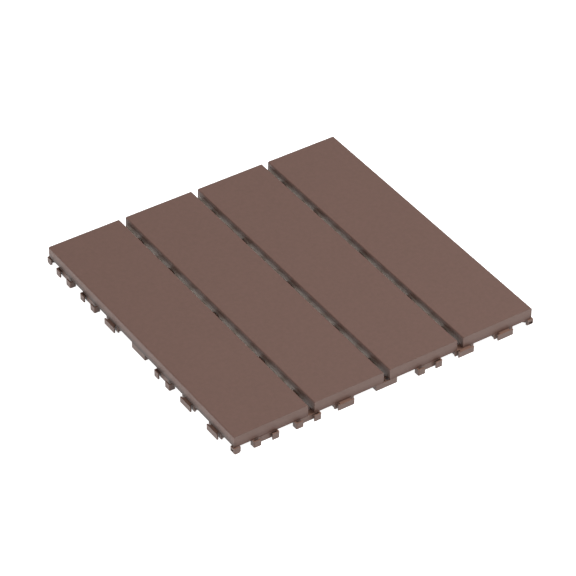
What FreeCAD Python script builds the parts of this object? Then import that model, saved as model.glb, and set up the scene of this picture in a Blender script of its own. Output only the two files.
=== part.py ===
import FreeCAD, Part
import math
import os

# The tile: four solid slats screwed down from below onto one moulded base.
# X runs across the slats, Y along them, Z is up and zero where the base stands.
# Hooks and sockets stand round the rim in the same order on all four sides.

# Overall module
module_size = 300.0          # pitch of neighbouring tiles
side_margin = 1.5            # module line to the long face of an outer slat
end_margin = 1.85            # module line to the slat ends

# Slats
slat_thickness = 11.0
inner_slat_width = 68.1
slat_gap = 6.15
slat_top_radius = 1.2        # rounded long edges of the tread face
slat_bottom_bevel = 0.6      # broken long edges underneath

# Base plate lattice
base_height = 6.1
rib_clearance = 1.5          # ribs stop this far above the ground
rib_top_width = 2.2
rib_bottom_width = 1.5
ribs_per_bay = (2, 3, 3, 2)  # cross rib spaces from each row of lugs to the next
long_rib_spread = 24.0       # outer long ribs of a slat, from its centre line
rim_setback = 6.2            # module line to the outer face of the rim
rim_wall = 1.8
rim_inner_radius = 3.2
rim_corner_flats = 3

# Spacer lugs that stand up between the slats
lug_rows = (-121.7, -71.3, 0.0, 71.3, 121.7)
lug_length = 8.5
lug_rise = 3.3               # above the underside of the slats
lug_play = 0.15              # each side, lug to slat
lug_taper = 0.5              # each side, over the lug's rise

# Feet and screws
foot_diameter = 9.0
foot_taper = 0.6
foot_rows = (-47.5, 0.0, 47.5)
screw_rows = (-96.5, 96.5)
boss_diameter = 10.5
boss_flats = 12              # flats round a boss, a foot and their bores
screw_diameter = 3.5
screw_flats = 10             # flats round a screw and its hole
screw_reach = 7.6            # threaded length inside the slat
screw_point = 2.0            # tapered end of the shank
screw_point_diameter = 1.2
screw_head_diameter = 7.0
screw_head_height = 2.1
screw_crown_diameter = 5.0   # flat of the head
screw_crown_drop = 0.9
screw_hole_play = 0.3
head_recess_depth = 3.0
head_recess_play = 0.7

# Interlock
lock_wall = 1.25             # wall of every hook and socket
lock_play = 0.25             # free space round a hook in a socket
lock_reach = 1.4             # hook and socket noses beyond the module line
socket_offsets = (-119.3, -78.7, 42.1)   # from the middle of a side; hooks mirror them
socket_half_width = 12.2
socket_mouth_half_width = 5.5
guide_depth = 5.5            # side wall of a socket, back from its nose
guide_corner_flats = 2
hook_nose_half_width = 7.8
hook_leg_half_width = 9.4
hook_plate_thickness = 1.3
hook_ground_gap = 0.5
hook_lead_in = 0.36          # chamfer of the hanging nose, as a share of the wall
socket_corner_round = 0.72   # outer radius of a guide, as a share of the wall
bar_ground_gap = 0.6
middle_pad_half_width = 10.4
middle_pad_ground_gap = 0.4
middle_pad_setback = 1.75    # module line to the face of the middle pad
corner_setback = 0.45        # module line to the faces of a corner foot
corner_front_length = 6.4
corner_left_length = 5.4
corner_depth = 3.2           # thickness of the pocketed leg
corner_pocket_depth = 2.0
corner_frame = 0.9           # rim left round the pocket
corner_ledge = 2.2           # solid height above the pocket
corner_bevel = 0.4           # low edge bevel, as a share of the plain leg's length
corner_web = 2.2

# Values that follow from the sizes above
half_module = module_size / 2
deck_half_width = half_module - side_margin
deck_half_length = half_module - end_margin
outer_slat_width = deck_half_width - 1.5 * slat_gap - inner_slat_width
deck_top = base_height + slat_thickness
rim_half = half_module - rim_setback
rim_outer_radius = rim_inner_radius + rim_wall
lock_root = -rim_setback - rim_wall / 2
nose_inner = lock_reach - lock_wall
leg_outer = -(lock_reach + lock_play)
leg_inner = leg_outer - lock_wall
neck_half_width = socket_mouth_half_width - lock_play


def slat_spans():
    """Left and right edge of each slat, from -X to +X."""
    inner_edge = slat_gap / 2
    outer_edge = inner_edge + inner_slat_width + slat_gap
    right_half = [
        (inner_edge, inner_edge + inner_slat_width),
        (outer_edge, outer_edge + outer_slat_width),
    ]
    left_half = [(-right, -left) for left, right in reversed(right_half)]
    return left_half + right_half


def slat_centres():
    return [(left + right) / 2 for left, right in slat_spans()]


def gap_centres():
    spans = slat_spans()
    return [(a[1] + b[0]) / 2 for a, b in zip(spans[:-1], spans[1:])]


def cross_rib_places():
    """Y of every cross rib: one under each row of lugs, the others evenly between."""
    places = [lug_rows[0]]
    for start, end, spaces in zip(lug_rows[:-1], lug_rows[1:], ribs_per_bay):
        places += [start + (end - start) * k / spaces for k in range(1, spaces + 1)]
    return places


def screw_places():
    return [
        (x + side * long_rib_spread, y)
        for x in slat_centres()
        for side in (-1, 1)
        for y in screw_rows
    ]


def foot_places():
    return [(x, y) for x in slat_centres() for y in foot_rows]


def block(x0, x1, y0, y1, z0, z1):
    return Part.makeBox(x1 - x0, y1 - y0, z1 - z0, FreeCAD.Vector(x0, y0, z0))


def prism(outline, z0, z1):
    """Upright prism over a closed plan outline of (x, y) points."""
    corners = [FreeCAD.Vector(x, y, z0) for x, y in outline]
    face = Part.Face(Part.makePolygon(corners + corners[:1]))
    return face.extrude(FreeCAD.Vector(0, 0, z1 - z0))


def joined(pieces):
    """One clean solid made of overlapping pieces."""
    whole = pieces[0].multiFuse(pieces[1:]).removeSplitter()
    return whole.Solids[0] if len(whole.Solids) == 1 else whole


def edges_along(shape, axis, near, reach):
    """Straight edges parallel to an axis whose middle lies near a point."""
    found = []
    for edge in shape.Edges:
        run = edge.Vertexes[-1].Point - edge.Vertexes[0].Point
        if run.Length < 1e-6:
            continue
        run.normalize()
        middle = edge.CenterOfMass - near
        off_axis = middle - axis * middle.dot(axis)
        if abs(run.dot(axis)) > 0.999 and off_axis.Length < reach:
            found.append(edge)
    return found


def slat_outline(left, right):
    """End profile of a slat in the XZ plane: round upper edges, bevelled lower ones."""
    y = -deck_half_length
    low, high = base_height, deck_top
    r, s = slat_top_radius, slat_bottom_bevel
    k = math.sqrt(0.5)

    def point(x, z):
        return FreeCAD.Vector(x, y, z)

    def corner(start, middle, end):
        return Part.Arc(point(*start), point(*middle), point(*end)).toShape()

    def line(start, end):
        return Part.LineSegment(point(*start), point(*end)).toShape()

    edges = [
        line((left + s, low), (right - s, low)),
        line((right - s, low), (right, low + s)),
        line((right, low + s), (right, high - r)),
        corner((right, high - r), (right - r + r * k, high - r + r * k), (right - r, high)),
        line((right - r, high), (left + r, high)),
        corner((left + r, high), (left + r - r * k, high - r + r * k), (left, high - r)),
        line((left, high - r), (left, low + s)),
        line((left, low + s), (left + s, low)),
    ]
    return Part.Wire(edges)


def make_slat(left, right):
    """Extruded slat with the screw holes that its own screws cut."""
    body = Part.Face(slat_outline(left, right)).extrude(FreeCAD.Vector(0, 2 * deck_half_length, 0))
    shanks = [screw_shank(x, y) for x, y in screw_places() if left < x < right]
    return body.cut(Part.makeCompound(shanks)).Solids[0]


def screw_shank(x, y):
    """Shank and point of a screw, from under its head upwards."""
    top = base_height + screw_reach
    radius = screw_diameter / 2
    outline = [
        (radius, head_recess_depth),
        (radius, top - screw_point),
        (screw_point_diameter / 2, top),
    ]
    return faceted(outline, x, y, screw_flats)


def faceted(outline, x, y, flats):
    """Upright round form with flat sides, from (radius, height) points going up."""
    def flat_face(corners):
        return Part.Face(Part.makePolygon(corners + corners[:1]))

    angles = [2 * math.pi * (k + 0.5) / flats for k in range(flats)]
    rings = [
        [FreeCAD.Vector(x + r * math.cos(a), y + r * math.sin(a), z) for a in angles]
        for r, z in outline
    ]
    faces = [flat_face(rings[0]), flat_face(rings[-1])]
    for low, high in zip(rings[:-1], rings[1:]):
        for k in range(flats):
            after = (k + 1) % flats
            faces.append(flat_face([low[k], low[after], high[after], high[k]]))
    return Part.Solid(Part.Shell(faces))


def make_screw(x, y):
    """Pan head screw driven from below."""
    seat = head_recess_depth
    low = seat - screw_head_height
    rim = screw_head_diameter / 2
    crown = screw_crown_diameter / 2
    head = faceted([(crown, low), (rim, low + screw_crown_drop), (rim, seat)], x, y, screw_flats)
    return head.fuse(screw_shank(x, y)).removeSplitter().Solids[0]


def long_rib(x, half_length):
    """Tapered rib along Y, thinner at its lower edge."""
    top, low = rib_top_width / 2, rib_bottom_width / 2
    corners = [
        FreeCAD.Vector(x - low, -half_length, rib_clearance),
        FreeCAD.Vector(x + low, -half_length, rib_clearance),
        FreeCAD.Vector(x + top, -half_length, base_height),
        FreeCAD.Vector(x - top, -half_length, base_height),
    ]
    face = Part.Face(Part.makePolygon(corners + corners[:1]))
    return face.extrude(FreeCAD.Vector(0, 2 * half_length, 0))


def cross_rib(y, half_length):
    """Tapered rib along X at a given Y."""
    rib = long_rib(-y, half_length)
    rib.rotate(FreeCAD.Vector(0, 0, 0), FreeCAD.Vector(0, 0, 1), -90)
    return rib


def rounded_square(half, radius, z):
    """Closed square wire whose corners are rounded in a few flats."""
    flat = half - radius
    turns = [math.radians(90 * k / rim_corner_flats - 90) for k in range(rim_corner_flats + 1)]
    corner = [FreeCAD.Vector(flat + radius * math.cos(a), -flat + radius * math.sin(a), z) for a in turns]
    points = []
    for turn in range(4):
        spin = FreeCAD.Rotation(FreeCAD.Vector(0, 0, 1), 90 * turn)
        points += [spin.multVec(point) for point in corner]
    return Part.makePolygon(points + points[:1])


def make_rim():
    """Upright wall round the lattice."""
    outer = Part.Face(rounded_square(rim_half, rim_outer_radius, rib_clearance))
    inner = Part.Face(rounded_square(rim_half - rim_wall, rim_inner_radius, rib_clearance))
    return outer.cut(inner).extrude(FreeCAD.Vector(0, 0, base_height - rib_clearance))


def make_lug(x, y):
    """Tapered spacer that stands on a cross rib between two slats."""
    half_foot = slat_gap / 2 - lug_play
    half_head = half_foot - lug_taper
    half_length = lug_length / 2
    top = base_height + lug_rise

    def ring(hx, hy, z):
        corners = [
            FreeCAD.Vector(x + sx * hx, y + sy * hy, z)
            for sx, sy in ((-1, -1), (1, -1), (1, 1), (-1, 1))
        ]
        return Part.makePolygon(corners + corners[:1])

    low = base_height - (base_height - rib_clearance) / 2
    tapered = Part.makeLoft(
        [ring(half_foot, half_length, base_height), ring(half_head, half_length - lug_taper, top)], True
    )
    root = block(x - half_foot, x + half_foot, y - half_length, y + half_length, low, base_height)
    return root.fuse(tapered)


def make_foot(x, y):
    """Round foot on the middle rib of a slat, slightly conical."""
    wide = foot_diameter / 2
    return faceted([(wide - foot_taper, 0), (wide, base_height)], x, y, boss_flats)


def make_boss(x, y):
    return faceted([(boss_diameter / 2, 0), (boss_diameter / 2, base_height)], x, y, boss_flats)


def boss_hole(x, y):
    """Head recess from below and the clearance hole above it."""
    recess = (screw_head_diameter + head_recess_play) / 2
    hole = (screw_diameter + screw_hole_play) / 2
    outline = [(recess, 0), (recess, head_recess_depth), (hole, head_recess_depth), (hole, base_height)]
    return faceted(outline, x, y, boss_flats)


def edge_block(u0, u1, p0, p1, z0, z1):
    """Block on the front side: u from the side's middle, p outwards from the module line."""
    return block(u0, u1, -half_module - p1, -half_module - p0, z0, z1)


def edge_prism(outline, z0, z1):
    """Prism on the front side over (u, p) points."""
    return prism([(u, -half_module - p) for u, p in outline], z0, z1)


def upright_webs(places, outer, ground_gap):
    """Short webs from the rim out to the back of a lock part."""
    half = lock_wall / 2
    return [edge_block(u - half, u + half, lock_root, outer + half, ground_gap, base_height) for u in places]


def guide_corner(wall, hand):
    """Outer corner of a guide, rounded in a few flats."""
    radius = socket_corner_round * lock_wall
    centre = (wall - hand * radius, lock_reach - radius)
    turns = [math.radians(90 * k / guide_corner_flats) for k in range(guide_corner_flats + 1)]
    return [(centre[0] + hand * radius * math.cos(a), centre[1] + radius * math.sin(a)) for a in turns]


def make_socket(u):
    """Two facing guides with a bar and a shelf behind them, open at the top for a hook."""
    back = lock_reach - guide_depth
    pieces = []
    for hand in (-1, 1):
        wall = u + hand * socket_half_width
        inside = u + hand * (socket_half_width - lock_wall)
        mouth = u + hand * socket_mouth_half_width
        outline = [(wall, back)] + guide_corner(wall, hand) + [
            (mouth, lock_reach), (mouth, nose_inner), (inside, nose_inner), (inside, back),
        ]
        pieces.append(edge_prism(outline, 0, base_height))
    left, right = u - socket_half_width + lock_wall / 2, u + socket_half_width - lock_wall / 2
    shelf_outer = leg_inner + lock_wall / 2
    shelf_low = base_height - hook_plate_thickness
    pieces.append(edge_block(left, right, leg_inner, leg_outer, bar_ground_gap, base_height))
    pieces.append(edge_block(left, right, lock_root, shelf_outer, shelf_low, base_height))
    return pieces + upright_webs((u,), leg_inner, rib_clearance)


def make_hook(u):
    """T shaped plate with an inner leg and a hanging nose, to drop into a socket."""
    leg, neck, nose = hook_leg_half_width, neck_half_width, hook_nose_half_width
    plate = edge_prism(
        [
            (u - leg, lock_root), (u - leg, leg_outer), (u - neck, leg_outer), (u - neck, nose_inner),
            (u - nose, nose_inner), (u - nose, lock_reach), (u + nose, lock_reach), (u + nose, nose_inner),
            (u + neck, nose_inner), (u + neck, leg_outer), (u + leg, leg_outer), (u + leg, lock_root),
        ],
        base_height - hook_plate_thickness, base_height,
    )
    inner_leg = edge_block(u - leg, u + leg, leg_inner, leg_outer, hook_ground_gap, base_height)
    hanging = edge_block(u - nose, u + nose, nose_inner, lock_reach, hook_ground_gap, base_height)
    along = FreeCAD.Vector(1, 0, 0)
    lead = FreeCAD.Vector(u, -half_module - nose_inner, hook_ground_gap)
    hanging = hanging.makeChamfer(hook_lead_in * lock_wall, edges_along(hanging, along, lead, 0.01))
    end_web = leg - lock_wall / 2
    webs = upright_webs((u - end_web, u + end_web), leg_inner, rib_clearance)
    return [plate, inner_leg, hanging] + webs


def make_middle_pad():
    """Hollow pad halfway along a side: a face, two cheeks and a centre web."""
    half = middle_pad_half_width
    back = -middle_pad_setback - lock_wall
    face = edge_block(-half, half, back, -middle_pad_setback, middle_pad_ground_gap, base_height)
    cheek = half - lock_wall / 2
    return [face] + upright_webs((-cheek, 0, cheek), back, middle_pad_ground_gap)


def make_corner_foot():
    """Angle foot at the start of the front side, pocketed on its outer left face."""
    outer = half_module - corner_setback
    front_end = outer - corner_front_length
    left_end = outer - corner_left_length
    depth = corner_depth
    plan = [
        (-outer, -outer), (-front_end, -outer), (-front_end, -outer + lock_wall),
        (-outer + depth, -outer + lock_wall), (-outer + depth, -left_end), (-outer, -left_end),
    ]
    foot = prism(plan, 0, base_height)
    along_y = FreeCAD.Vector(0, 1, 0)
    low_edges = edges_along(foot, along_y, FreeCAD.Vector(-outer, 0, 0), 0.01)
    low_edges += edges_along(foot, along_y, FreeCAD.Vector(-front_end, 0, 0), 0.01)
    foot = foot.makeChamfer(corner_bevel * (corner_front_length - depth), low_edges)
    pocket = block(
        -outer - corner_frame, -outer + corner_pocket_depth,
        -outer + corner_frame, -left_end - corner_frame,
        corner_frame, base_height - corner_ledge,
    )
    reach = rim_half - rim_outer_radius * (1 - math.sqrt(0.5)) - rim_wall / 2
    half_web = corner_web / 2 * math.sqrt(2)
    end = outer - lock_wall / 2
    web_plan = [
        (-reach - half_web, -reach), (-end, -end + half_web),
        (-end + half_web, -end), (-reach, -reach - half_web),
    ]
    web = prism(web_plan, rib_clearance, base_height)
    return [foot.cut(pocket), web.cut(pocket)]


def make_side():
    """Everything that stands outside the rim on the front side."""
    pieces = make_middle_pad() + make_corner_foot()
    for u in socket_offsets:
        pieces += make_socket(u)
        pieces += make_hook(-u)
    return pieces


def make_base():
    """The one-piece moulding under the slats."""
    inside = rim_half - rim_wall / 2
    pieces = [make_rim()]
    pieces += [cross_rib(y, inside) for y in cross_rib_places()]
    for x in slat_centres():
        pieces += [long_rib(x + shift, inside) for shift in (-long_rib_spread, 0, long_rib_spread)]
    pieces += [make_foot(x, y) for x, y in foot_places()]
    pieces += [make_boss(x, y) for x, y in screw_places()]
    pieces += [make_lug(x, y) for x in gap_centres() for y in lug_rows]
    for turn in range(4):
        for piece in make_side():
            turned = piece.copy()
            turned.rotate(FreeCAD.Vector(0, 0, 0), FreeCAD.Vector(0, 0, 1), 90 * turn)
            pieces.append(turned)
    holes = Part.makeCompound([boss_hole(x, y) for x, y in screw_places()])
    return joined(pieces).cut(holes).Solids[0]


def write(name, shape):
    shape.exportStep(os.path.join("parts", name + ".step"))
    print(name, len(shape.Solids), "solids", round(shape.Volume / 1000, 2), "cm3")


def main():
    os.makedirs("parts", exist_ok=True)
    for number, (left, right) in enumerate(slat_spans(), start=1):
        write("deck_slat_%d" % number, make_slat(left, right))
    write("base_grid", make_base())
    write("slat_screws", Part.makeCompound([make_screw(x, y) for x, y in screw_places()]))


main()
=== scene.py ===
import math
import bmesh
import bpy
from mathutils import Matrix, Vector


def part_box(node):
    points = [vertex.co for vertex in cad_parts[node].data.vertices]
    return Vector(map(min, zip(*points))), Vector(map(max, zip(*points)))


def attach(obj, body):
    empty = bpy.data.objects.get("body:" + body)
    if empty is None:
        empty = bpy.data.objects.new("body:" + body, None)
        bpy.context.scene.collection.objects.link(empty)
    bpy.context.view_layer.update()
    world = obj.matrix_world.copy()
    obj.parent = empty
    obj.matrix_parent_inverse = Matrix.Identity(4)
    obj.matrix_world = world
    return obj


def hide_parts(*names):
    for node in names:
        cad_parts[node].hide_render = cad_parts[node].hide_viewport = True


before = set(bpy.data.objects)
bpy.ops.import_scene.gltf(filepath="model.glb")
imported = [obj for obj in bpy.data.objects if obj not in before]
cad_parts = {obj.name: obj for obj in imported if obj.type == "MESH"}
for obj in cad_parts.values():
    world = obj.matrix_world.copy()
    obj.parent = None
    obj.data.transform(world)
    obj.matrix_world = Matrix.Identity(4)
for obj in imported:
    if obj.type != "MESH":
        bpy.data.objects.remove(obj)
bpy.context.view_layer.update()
slatNames = ["deck_slat_1", "deck_slat_2", "deck_slat_3", "deck_slat_4"]
millimetresPerMetre = 1000
print("frame loaded, nodes:", ", ".join(sorted(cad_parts)))

# Camera at the photograph's angle. Places are in metres, angles in degrees, lens and sensor in
# millimetres.
photoView = dict(
    azimuth=-33.477,
    elevation=38.65,
    distance=2.4617,
    target=(-0.00748, -0.01276, 0.0171),
    lens=181.75,
    sensor=36.0,
    sees=(0.05, 60.0),           # nearest and farthest distance drawn
)


def placeCamera():
    turn, rise = math.radians(photoView["azimuth"]), math.radians(photoView["elevation"])
    back = Vector((math.sin(turn) * math.cos(rise), -math.cos(turn) * math.cos(rise), math.sin(rise)))
    camera = bpy.data.objects.new("photoCamera", bpy.data.cameras.new("photoCamera"))
    bpy.context.scene.collection.objects.link(camera)
    camera.data.sensor_width = photoView["sensor"]
    camera.data.lens = photoView["lens"]
    camera.data.clip_start, camera.data.clip_end = photoView["sees"]
    camera.location = Vector(photoView["target"]) + back * photoView["distance"]
    camera.rotation_mode = "QUATERNION"
    camera.rotation_quaternion = (-back).to_track_quat("-Z", "Y")
    bpy.context.scene.camera = camera


# Small helpers for wiring a material
def newMaterial(name):
    material = bpy.data.materials.new(name)
    material.use_nodes = True
    tree = material.node_tree
    tree.nodes.clear()
    output = tree.nodes.new("ShaderNodeOutputMaterial")
    return material, tree, output


def fillSocket(tree, socket, value):
    # another node's output is linked, anything else is set on the socket itself
    if isinstance(value, bpy.types.NodeSocket):
        tree.links.new(value, socket)
    else:
        socket.default_value = value


def addNode(tree, kind, inputs=None, **settings):
    node = tree.nodes.new(kind)
    for key, value in settings.items():
        setattr(node, key, value)
    for socket, value in (inputs or {}).items():
        fillSocket(tree, node.inputs[socket], value)
    return node


def addPrincipled(tree, output, inputs):
    shader = addNode(tree, "ShaderNodeBsdfPrincipled", inputs)
    tree.links.new(shader.outputs[0], output.inputs["Surface"])


def addRelief(tree, tint, height, edgeNormal=None):
    # fine relief from a height pattern, laid over rounded edges where they are given
    inputs = {"Strength": tint["reliefStrength"], "Distance": tint["reliefDepth"], "Height": height}
    if edgeNormal is not None:
        inputs["Normal"] = edgeNormal
    return addNode(tree, "ShaderNodeBump", inputs).outputs["Normal"]


def roundedEdges(tree, radius):
    # rounds sharp edges in the shading alone
    return addNode(tree, "ShaderNodeBevel", {"Radius": radius}, samples=4).outputs["Normal"]


def calc(tree, operation, first, second=0.0):
    return addNode(tree, "ShaderNodeMath", {0: first, 1: second}, operation=operation).outputs[0]


def ramp(tree, value, start, end, atStart, atEnd):
    # a straight line between two values, flat outside them
    return addNode(
        tree, "ShaderNodeMapRange",
        {"Value": value, "From Min": start, "From Max": end, "To Min": atStart, "To Max": atEnd},
    ).outputs["Result"]


def splitPlaces(tree, places):
    split = addNode(tree, "ShaderNodeSeparateXYZ", {"Vector": places})
    return [split.outputs[axis] for axis in "XYZ"]


def objectPlaces(tree, stretch=(1, 1, 1)):
    # object coordinates, stretched so that a pattern runs along the piece
    where = addNode(tree, "ShaderNodeTexCoord").outputs["Object"]
    return addNode(tree, "ShaderNodeMapping", {"Vector": where, "Scale": stretch}).outputs["Vector"]


def faceDirection(tree):
    return splitPlaces(tree, addNode(tree, "ShaderNodeTexCoord").outputs["Normal"])


def noiseOf(tree, places, pattern):
    # pattern is how many per metre, detail and roughness
    scale, detail, roughness = pattern
    return addNode(
        tree, "ShaderNodeTexNoise",
        {"Vector": places, "Scale": scale, "Detail": detail, "Roughness": roughness},
    ).outputs["Fac"]


noiseSpan = (0.3, 0.7)  # the usual range of a noise


def spread(tree, noise, low, high):
    # a number from low to high as the noise goes over its usual range
    return ramp(tree, noise, *noiseSpan, low, high)


def mixColour(tree, share, first, second):
    # the colour sockets of a Mix node are numbers 6 and 7, its colour output is number 2
    node = addNode(tree, "ShaderNodeMix", data_type="RGBA")
    for place, value in ((0, share), (6, first), (7, second)):
        fillSocket(tree, node.inputs[place], value)
    return node.outputs[2]


# Solid wood-plastic slats. A pattern is how many per metre, detail and roughness. A slope is the
# upward part of a face's direction, 0 on a wall and 1 on the tread. Lengths are in metres.
slatFinish = dict(
    brown=(0.146, 0.0755, 0.0565, 1),
    darkFleck=(0.122, 0.062, 0.045, 1),
    redFleck=(0.184, 0.092, 0.072, 1),
    paleFleck=(0.184, 0.103, 0.080, 1),
    # painted sheen: a paler colour laid on the walls for the grazing light they catch
    wallSheenColour=(0.160, 0.096, 0.076, 1),
    # painted shade for the lower border of the outer faces, sides and ends
    sideShadeColour=(0.040, 0.027, 0.022, 1),
    endShadeColour=(0.078, 0.024, 0.010, 1),
    # painted light low on the walls of the gaps
    gapWallLight=(0.74, 0.675, 0.61, 1),
    grainStretch=(1, 0.22, 1),    # longer along the board
    cloud=(26, 3, 0.55),
    mottle=(280, 3, 0.6),
    flour=(1500, 5, 0.7),         # wood flour along the grain
    speck=(2600, 2, 0.5),
    cloudShare=0.26,
    mottleShare=0.55,
    flourShare=0.32,
    speckShare=0.30,
    wallSheenShare=0.55,
    wallSheenSlopes=(0.15, 0.85),       # slopes between which the painted sheen on walls fades out
    wallSlope=0.5,                # a face below this slope is a wall
    outerFrom=0.1465,             # half width beyond which a face is an outer one
    sideSeamShade=(0.0072, 0.0128),    # heights between which the painted shade along the lower border fades out
    endSeamShade=(0.0061, 0.0118),
    seamShadeShare=0.85,
    wallLightHeight=(0.0088, 0.0132),  # heights between which the painted light in the gaps fades out
    wallLightReach=(-0.146, -0.118),   # and along the gap, from the front end
    wallLightShare=0.95,
    wallLightPatches=(0.8, 1.0),       # thin and thick patches of it
    roughness=(0.50, 0.60),
    refraction=1.5,
    sheen=0.12,
    sheenRoughness=0.5,
    edgeRound=0.0004,
    reliefStrength=0.6,
    reliefDepth=0.00005,
)


def slatColour(tree, tint, cloud, mottle, flour, speck):
    base = mixColour(tree, spread(tree, cloud, 0, tint["cloudShare"]), tint["brown"], tint["darkFleck"])
    base = mixColour(tree, spread(tree, mottle, 0, tint["mottleShare"]), base, tint["redFleck"])
    base = mixColour(tree, spread(tree, flour, 0, tint["flourShare"]), base, tint["paleFleck"])
    base = mixColour(tree, spread(tree, speck, 0, tint["speckShare"]), base, tint["darkFleck"])

    # painted sheen: walls, sides and cut ends alike, are painted paler and greyer than the tread, standing
    # in for grazing light on them
    slope = calc(tree, "ABSOLUTE", faceDirection(tree)[2])
    wallSheenShare = ramp(tree, slope, *tint["wallSheenSlopes"], tint["wallSheenShare"], 0)
    base = mixColour(tree, wallSheenShare, base, tint["wallSheenColour"])

    # painted shade: the outer faces are darkened along their lower border, where they sit on the base, the
    # ends with a browner painted shade
    x, y, height = splitPlaces(tree, objectPlaces(tree))
    across, along = calc(tree, "ABSOLUTE", x), calc(tree, "ABSOLUTE", y)
    onSide = calc(tree, "GREATER_THAN", across, tint["outerFrom"])
    onEnd = calc(tree, "GREATER_THAN", along, tint["outerFrom"])
    sideSeamShade = calc(tree, "MULTIPLY", onSide, ramp(tree, height, *tint["sideSeamShade"], tint["seamShadeShare"], 0))
    endSeamShade = calc(tree, "MULTIPLY", onEnd, ramp(tree, height, *tint["endSeamShade"], tint["seamShadeShare"], 0))
    base = mixColour(tree, sideSeamShade, base, tint["sideShadeColour"])
    base = mixColour(tree, endSeamShade, base, tint["endShadeColour"])

    # painted light: the walls of the gaps are painted paler low down and away from the front end, for
    # light from below through the open base
    inner = calc(tree, "LESS_THAN", calc(tree, "MAXIMUM", across, along), tint["outerFrom"])
    wall = calc(tree, "LESS_THAN", slope, tint["wallSlope"])
    wallLight = calc(tree, "MULTIPLY", inner, wall)
    wallLight = calc(tree, "MULTIPLY", wallLight, ramp(tree, height, *tint["wallLightHeight"], tint["wallLightShare"], 0))
    wallLight = calc(tree, "MULTIPLY", wallLight, ramp(tree, y, *tint["wallLightReach"], 0, 1))
    wallLight = calc(tree, "MULTIPLY", wallLight, spread(tree, cloud, *tint["wallLightPatches"]))
    return mixColour(tree, wallLight, base, tint["gapWallLight"])


def makeSlatComposite():
    tint = slatFinish
    material, tree, output = newMaterial("slatComposite")
    evenPlaces = objectPlaces(tree)
    cloud = noiseOf(tree, evenPlaces, tint["cloud"])
    mottle = noiseOf(tree, evenPlaces, tint["mottle"])
    flour = noiseOf(tree, objectPlaces(tree, tint["grainStretch"]), tint["flour"])
    speck = noiseOf(tree, evenPlaces, tint["speck"])
    relief = calc(tree, "ADD", flour, speck)
    addPrincipled(tree, output, {
        "Base Color": slatColour(tree, tint, cloud, mottle, flour, speck),
        "Roughness": spread(tree, flour, *tint["roughness"]),
        "IOR": tint["refraction"],
        "Sheen Weight": tint["sheen"],
        "Sheen Roughness": tint["sheenRoughness"],
        "Normal": addRelief(tree, tint, relief, roundedEdges(tree, tint["edgeRound"])),
    })
    return material


# Moulded base under the slats
baseFinish = dict(
    brown=(0.136, 0.069, 0.048, 1),
    darkCloud=(0.114, 0.057, 0.038, 1),
    litTopColour=(0.224, 0.119, 0.084, 1),  # painted light: faces that look up are painted paler, as if lit from above
    cloud=(45, 3, 0.55),
    spark=(2200, 3, 0.6),             # fine texture of the mould
    cloudShare=0.5,
    litTopShare=0.9,
    litTopSlopes=(0.5, 1.0),          # slopes between which that comes in
    roughness=(0.36, 0.46),
    refraction=1.5,
    sheen=0.32,
    sheenRoughness=0.4,
    edgeRound=0.00025,
    reliefStrength=0.5,
    reliefDepth=0.00003,
)


def makeBasePlastic():
    tint = baseFinish
    material, tree, output = newMaterial("basePlastic")
    places = objectPlaces(tree)
    cloud = noiseOf(tree, places, tint["cloud"])
    spark = noiseOf(tree, places, tint["spark"])
    base = mixColour(tree, spread(tree, cloud, 0, tint["cloudShare"]), tint["brown"], tint["darkCloud"])
    # painted light: upward faces painted paler than the walls
    litTop = ramp(tree, faceDirection(tree)[2], *tint["litTopSlopes"], 0, tint["litTopShare"])
    base = mixColour(tree, litTop, base, tint["litTopColour"])
    addPrincipled(tree, output, {
        "Base Color": base,
        "Roughness": spread(tree, spark, *tint["roughness"]),
        "IOR": tint["refraction"],
        "Sheen Weight": tint["sheen"],
        "Sheen Roughness": tint["sheenRoughness"],
        "Normal": addRelief(tree, tint, spark, roundedEdges(tree, tint["edgeRound"])),
    })
    return material


# Zinc plated screws
screwFinish = dict(
    bright=(0.62, 0.62, 0.64, 1),
    dull=(0.42, 0.42, 0.44, 1),
    patch=(500, 4, 0.6),
    scratch=(4000, 2, 0.55),
    roughness=(0.22, 0.42),
    reliefStrength=0.3,
    reliefDepth=0.00001,
)


def makeScrewSteel():
    tint = screwFinish
    material, tree, output = newMaterial("screwSteel")
    places = objectPlaces(tree)
    patch = noiseOf(tree, places, tint["patch"])
    scratch = noiseOf(tree, places, tint["scratch"])
    addPrincipled(tree, output, {
        "Base Color": mixColour(tree, spread(tree, patch, 0, 1), tint["bright"], tint["dull"]),
        "Metallic": 1.0,
        "Roughness": spread(tree, patch, *tint["roughness"]),
        "Normal": addRelief(tree, tint, scratch),
    })
    return material


# Floor and sky of the studio. Lengths are in metres.
room = dict(
    floorSize=12.0,
    floorDrop=0.00002,  # just below the feet
    floorGrey=0.80,
    footprint=0.1425,   # half width of the patch under the tile that only real light reaches
    floorGlow=0.95,     # seen by the camera and in reflections
    skyLight=0.35,      # on the tile and the floor
    skySeen=1.0,        # by the camera, where 1 is white
)


def seenOrMirrored(tree):
    # 1 for a reflection, and for the camera away from the patch under the tile
    path = addNode(tree, "ShaderNodeLightPath")
    x, y, _ = splitPlaces(tree, addNode(tree, "ShaderNodeTexCoord").outputs["Object"])
    reach = calc(tree, "MAXIMUM", calc(tree, "ABSOLUTE", x), calc(tree, "ABSOLUTE", y))
    openFloor = calc(tree, "GREATER_THAN", reach, room["footprint"])
    seen = calc(tree, "MULTIPLY", path.outputs["Is Camera Ray"], openFloor)
    return calc(tree, "MAXIMUM", seen, path.outputs["Is Glossy Ray"])


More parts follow.
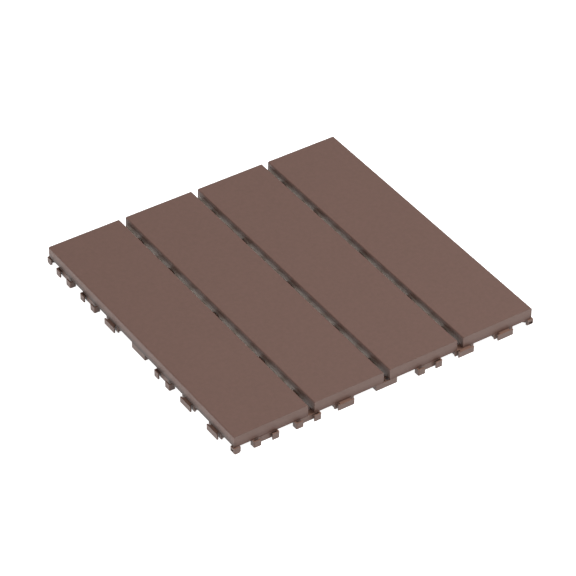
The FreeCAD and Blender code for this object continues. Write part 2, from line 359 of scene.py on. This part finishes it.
def makeFloor():
    half = room["floorSize"] / 2
    mesh = bpy.data.meshes.new("paleFloor")
    corners = [(-half, -half, 0), (half, -half, 0), (half, half, 0), (-half, half, 0)]
    mesh.from_pydata(corners, [], [(0, 1, 2, 3)])
    floor = bpy.data.objects.new("paleFloor", mesh)
    floor.location.z = -room["floorDrop"]
    bpy.context.scene.collection.objects.link(floor)

    material, tree, output = newMaterial("floorPaint")
    grey = room["floorGrey"]
    matt = addNode(tree, "ShaderNodeBsdfDiffuse", {"Color": (grey, grey, grey, 1)})
    glow = calc(tree, "MULTIPLY", seenOrMirrored(tree), room["floorGlow"])
    lit = addNode(tree, "ShaderNodeEmission", {"Color": (1, 1, 1, 1), "Strength": glow})
    both = addNode(tree, "ShaderNodeAddShader", {0: matt.outputs[0], 1: lit.outputs[0]})
    tree.links.new(both.outputs[0], output.inputs["Surface"])
    mesh.materials.append(material)


def makeSky():
    world = bpy.data.worlds.new("paleRoom")
    world.use_nodes = True
    bpy.context.scene.world = world
    tree = world.node_tree
    tree.nodes.clear()
    output = tree.nodes.new("ShaderNodeOutputWorld")
    path = addNode(tree, "ShaderNodeLightPath")
    strength = ramp(tree, path.outputs["Is Camera Ray"], 0, 1, room["skyLight"], room["skySeen"])
    sky = addNode(tree, "ShaderNodeBackground", {"Color": (1, 1, 1, 1), "Strength": strength})
    tree.links.new(sky.outputs[0], output.inputs["Surface"])


# Soft lamps that look at the tile's middle. Places and sizes are in metres, power is in watts.
lamps = dict(
    overhead=dict(place=(0.9, -0.3, 2.0), size=1.0, power=30.0),
    leftSide=dict(place=(-1.7, -0.1, 0.55), size=1.2, power=10.0),
    frontSide=dict(place=(0.3, -1.8, 0.55), size=1.2, power=6.5),
)


def hangLamps():
    for name, lamp in lamps.items():
        light = bpy.data.lights.new(name, "AREA")
        light.shape = "SQUARE"
        light.size = lamp["size"]
        light.energy = lamp["power"]
        holder = bpy.data.objects.new(name, light)
        bpy.context.scene.collection.objects.link(holder)
        holder.location = lamp["place"]
        holder.rotation_mode = "QUATERNION"
        holder.rotation_quaternion = (-holder.location).to_track_quat("-Z", "Y")


# Pan head screws driven up through the base, four to a slat. Lengths are in millimetres.
screwShape = dict(
    rows=(-96.5, 96.5),
    spread=24.0,                 # from the middle of a slat
    sides=24,
    head=((2.30, 0.90), (2.85, 1.02), (3.22, 1.38), (3.40, 1.90), (3.40, 3.00)),  # radius, height
    core=((1.20, 3.00), (1.20, 11.60), (0.25, 13.60)),                            # radius, height
    threadCrest=1.70,
    threadPitch=1.6,
    threadWidth=0.62,
    threadFrom=6.5,
    threadTurns=4.0,
    threadSteps=16,              # to a turn
    threadRise=0.5,              # turns over which the ridge rises at its start
    threadFade=1.0,              # turns over which it fades out at its end
    threadStub=2,                # steps of both slopes that are left out, so that no end is a point
    threadRoot=0.06,             # how far the ridge starts inside the core
    crossTop=(1.80, 0.46),       # half span and half width where the driver enters
    crossBottom=(1.05, 0.30),    # and at its bottom
    crossDepth=1.25,
    sharpFrom=35.0,              # degrees between faces
)


def crossLoop(span, width, z):
    # twelve corners of a plus sign, counter-clockwise
    corner = [(span, -width), (span, width), (width, width)]
    loop = []
    for c, s in ((1, 0), (0, 1), (-1, 0), (0, -1)):
        loop += [(x * c - y * s, x * s + y * c, z) for x, y in corner]
    return loop


def bridgeLoops(bm, low, high):
    count = len(low)
    for k in range(count):
        after = (k + 1) % count
        bm.faces.new((low[k], low[after], high[after], high[k]))


def loopEdges(bm, loop):
    return [bm.edges.get((loop[k], loop[k - 1])) for k in range(len(loop))]


def turnScrewBody(bm, shape):
    # rings of points from the flat of the head to the tip; the flat itself stays open
    sides = shape["sides"]
    angles = [2 * math.pi * k / sides for k in range(sides)]
    loops = []
    for radius, z in shape["head"] + shape["core"]:
        loops.append([bm.verts.new((radius * math.cos(a), radius * math.sin(a), z)) for a in angles])
    for low, high in zip(loops[:-1], loops[1:]):
        bridgeLoops(bm, low, high)
    bm.faces.new(loops[-1])
    return loops[0]


def letInCross(bm, shape, headRim):
    # the cross recess, let into the flat of the head
    top = shape["head"][0][1]
    mouth = [bm.verts.new(place) for place in crossLoop(*shape["crossTop"], top)]
    bottom = [bm.verts.new(place) for place in crossLoop(*shape["crossBottom"], top + shape["crossDepth"])]
    bridgeLoops(bm, mouth, bottom)
    bm.faces.new(bottom)
    bmesh.ops.triangle_fill(bm, use_beauty=True, edges=loopEdges(bm, headRim) + loopEdges(bm, mouth))


def windThread(bm, shape):
    # a ridge of three sided rows that rises at its start and fades out at its end
    core, crest = shape["core"][0][0], shape["threadCrest"]
    perTurn, half = shape["threadSteps"], shape["threadWidth"] / 2
    steps, stub = int(shape["threadTurns"] * perTurn), shape["threadStub"]
    rise, fade = shape["threadRise"] * perTurn, shape["threadFade"] * perTurn
    root = core - shape["threadRoot"]
    rows = []
    for k in range(steps + 1):
        angle = 2 * math.pi * k / perTurn
        share = min(1, (k + stub) / rise, (steps - k + stub) / fade)
        z = shape["threadFrom"] + shape["threadPitch"] * k / perTurn
        points = ((root, z - half), (core + (crest - core) * share, z), (root, z + half))
        rows.append([bm.verts.new((r * math.cos(angle), r * math.sin(angle), h)) for r, h in points])
    for first, second in zip(rows[:-1], rows[1:]):
        bridgeLoops(bm, first, second)
    bm.faces.new(rows[0])
    bm.faces.new(rows[-1])


def oneScrew():
    bm = bmesh.new()
    headRim = turnScrewBody(bm, screwShape)
    letInCross(bm, screwShape, headRim)
    windThread(bm, screwShape)
    bmesh.ops.recalc_face_normals(bm, faces=bm.faces)
    bmesh.ops.triangulate(bm, faces=bm.faces)
    bm.verts.index_update()
    points = [vert.co.copy() for vert in bm.verts]
    corners = [[vert.index for vert in face.verts] for face in bm.faces]
    bm.free()
    return points, corners


def screwPlaces():
    places = []
    for name in slatNames:
        low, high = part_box(name)
        middle = (low[0] + high[0]) / 2
        for side in (-1, 1):
            across = middle + side * screwShape["spread"] / millimetresPerMetre
            places += [Vector((across, row / millimetresPerMetre, 0)) for row in screwShape["rows"]]
    return places


def makeScrews():
    points, corners = oneScrew()
    allPoints, allCorners = [], []
    for place in screwPlaces():
        start = len(allPoints)
        allPoints += [place + point / millimetresPerMetre for point in points]
        allCorners += [[start + index for index in face] for face in corners]
    mesh = bpy.data.meshes.new("slatScrews")
    mesh.from_pydata(allPoints, [], allCorners)
    mesh.shade_smooth()
    mesh.set_sharp_from_angle(angle=math.radians(screwShape["sharpFrom"]))
    screws = bpy.data.objects.new("slatScrews", mesh)
    bpy.context.scene.collection.objects.link(screws)
    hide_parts("slat_screws")
    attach(screws, "root")
    return screws


def paint(piece, material):
    piece.data.materials.clear()
    piece.data.materials.append(material)


placeCamera()
print("camera placed")
makeFloor()
makeSky()
hangLamps()
print("room and lamps ready")
slatComposite = makeSlatComposite()
for name in slatNames:
    paint(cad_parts[name], slatComposite)
print("slats finished:", len(slatNames))
paint(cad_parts["base_grid"], makeBasePlastic())
print("base finished")
screws = makeScrews()
paint(screws, makeScrewSteel())
print("screws made:", len(screws.data.polygons), "faces")
bpy.context.scene.view_settings.view_transform = "Standard"
